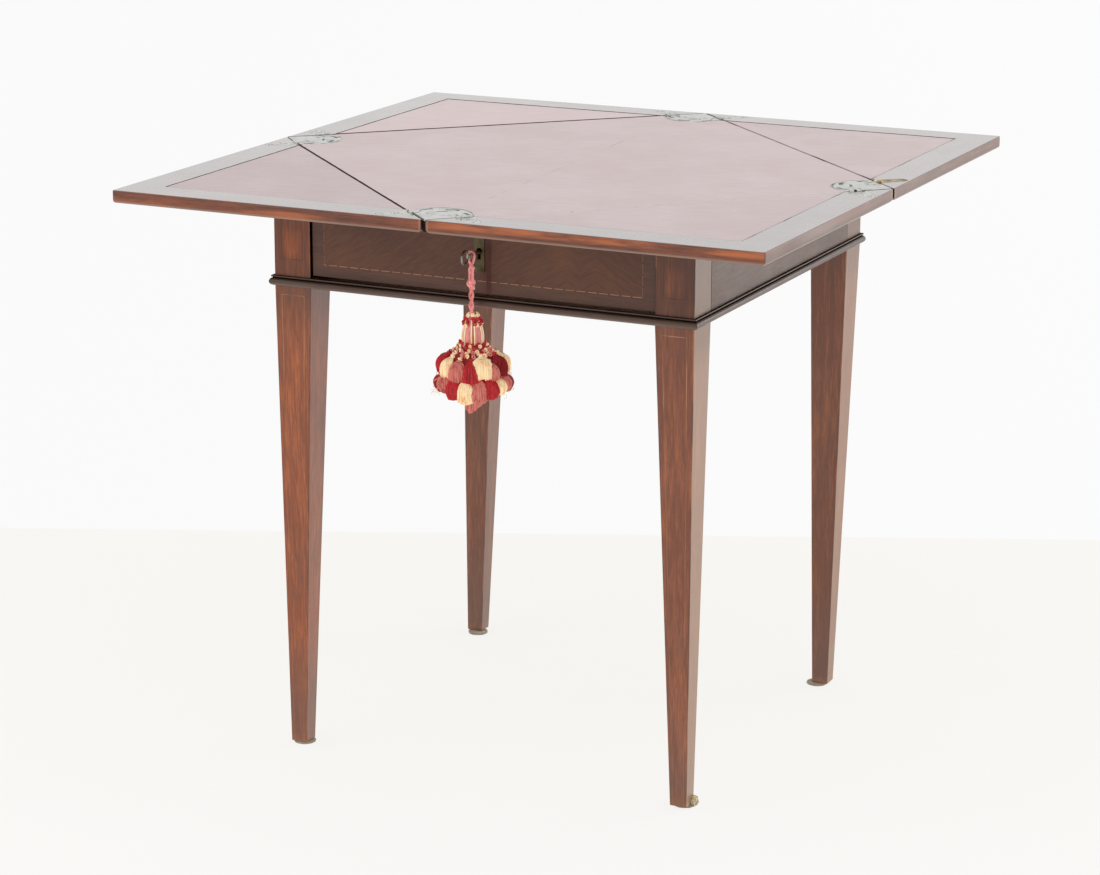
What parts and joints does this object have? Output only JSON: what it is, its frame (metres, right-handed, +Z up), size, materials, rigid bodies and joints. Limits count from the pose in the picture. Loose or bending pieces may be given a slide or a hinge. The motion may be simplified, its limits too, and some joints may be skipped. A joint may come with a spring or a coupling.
{
  "type": "envelope card table",
  "caption": "Square card table whose top swivels on a tapered-leg stand and unfolds with triangular baize-lined leaves; drawer with lock, key and tassel.",
  "frame": {"origin": "on the floor under the middle of the table", "axes": "+Z up, -Y towards whoever opens the drawer, +X to that person's right"},
  "size_m": [0.8546, 0.8546, 0.7475],
  "materials": {
    "mahogany": "old french polish, satin to gloss",
    "veneer": "book-matched veneer with light stringing, satin",
    "pine": "planed, unpolished",
    "oak": "planed, waxed",
    "baize": "faded wool baize, matt",
    "felt": "matt felt",
    "hinge_metal": "engraved and patinated",
    "brass": "aged",
    "iron": "dull",
    "steel": "worn",
    "cord": "twisted cord",
    "tassel_thread": "loose silk thread"
  },
  "bodies": {
    "stand": {"apron_back": "mahogany", "apron_left": "mahogany", "apron_right": "mahogany", "drawer_runner_left": "pine", "drawer_runner_right": "pine", "foot_pad_back_left": "felt", "foot_pad_back_right": "felt", "foot_pad_front_left": "felt", "foot_pad_front_right": "felt", "front_bottom_rail": "mahogany", "front_top_rail": "mahogany", "kicker_left": "pine", "kicker_right": "pine", "leg_back_left": "mahogany", "leg_back_right": "mahogany", "leg_front_left": "mahogany", "leg_front_right": "mahogany", "moulding_back": "mahogany", "moulding_front": "mahogany", "moulding_left": "mahogany", "moulding_right": "mahogany", "pivot_board": "pine"},
    "top": {"centre_panel": "mahogany", "centre_baize": "baize", "corner_plate_back": "hinge_metal", "corner_plate_front": "hinge_metal", "corner_plate_left": "hinge_metal", "corner_plate_right": "hinge_metal", "pivot_plate": "iron", "pivot_washer": "iron", "pivot_nut": "iron"},
    "leaf_right": {"leaf_right": "mahogany", "leaf_baize_right": "baize", "leaf_plate_right_1": "hinge_metal", "leaf_plate_right_2": "hinge_metal"},
    "leaf_back": {"leaf_back": "mahogany", "leaf_baize_back": "baize", "leaf_plate_back_1": "hinge_metal", "leaf_plate_back_2": "hinge_metal"},
    "leaf_left": {"leaf_left": "mahogany", "leaf_baize_left": "baize", "leaf_plate_left_1": "hinge_metal", "leaf_plate_left_2": "hinge_metal"},
    "leaf_front": {"leaf_front": "mahogany", "leaf_baize_front": "baize", "leaf_plate_front_1": "hinge_metal", "leaf_plate_front_2": "hinge_metal"},
    "drawer": {"drawer_front": "veneer", "drawer_side_left": "oak", "drawer_side_right": "oak", "drawer_back": "oak", "drawer_bottom": "oak", "escutcheon": "brass", "lock_case": "brass"},
    "key": {"key": "steel"},
    "bolt": {"lock_bolt": "iron"},
    "tassel": {"tassel_cord": "cord", "tassel_head": "tassel_thread", "tassel_skirt_upper": "tassel_thread", "tassel_skirt_lower": "tassel_thread"}
  },
  "joints": [
    {"name": "top_swivel", "type": "hinge", "parent": "stand", "child": "top", "pos_m": [0, 0, 0.745], "axis": [0, 0, 1], "range_deg": [-45, 0]},
    {"name": "leaf_right_fold", "type": "hinge", "parent": "top", "child": "leaf_right", "pos_m": [0.2139, 0.2139, 0.7454], "axis": [0.7071, -0.7071, 0], "range_deg": [0, 180]},
    {"name": "leaf_back_fold", "type": "hinge", "parent": "top", "child": "leaf_back", "pos_m": [-0.2139, 0.2139, 0.7454], "axis": [0.7071, 0.7071, 0], "range_deg": [0, 180]},
    {"name": "leaf_left_fold", "type": "hinge", "parent": "top", "child": "leaf_left", "pos_m": [-0.2139, -0.2139, 0.7454], "axis": [-0.7071, 0.7071, 0], "range_deg": [0, 180]},
    {"name": "leaf_front_fold", "type": "hinge", "parent": "top", "child": "leaf_front", "pos_m": [0.2139, -0.2139, 0.7454], "axis": [-0.7071, -0.7071, 0], "range_deg": [0, 180]},
    {"name": "drawer_slide", "type": "slide", "parent": "stand", "child": "drawer", "axis": [0, -1, 0], "range_m": [0, 0.3]},
    {"name": "key_turn", "type": "hinge", "parent": "drawer", "child": "key", "pos_m": [0, -0.28, 0.6797], "axis": [0, 1, 0], "range_deg": [0, 180]},
    {"name": "bolt_throw", "type": "slide", "parent": "drawer", "child": "bolt", "axis": [0, 0, 1], "range_m": [0, 0.006]},
    {"name": "tassel_swing", "type": "hinge", "parent": "drawer", "child": "tassel", "pos_m": [0, -0.303, 0.6797], "axis": [0, 1, 0], "range_deg": [-25, 25]}
  ],
  "couplings": [
    {"joint": "key_turn", "follows": "bolt_throw", "rad_per_m": 523.6}
  ]
}
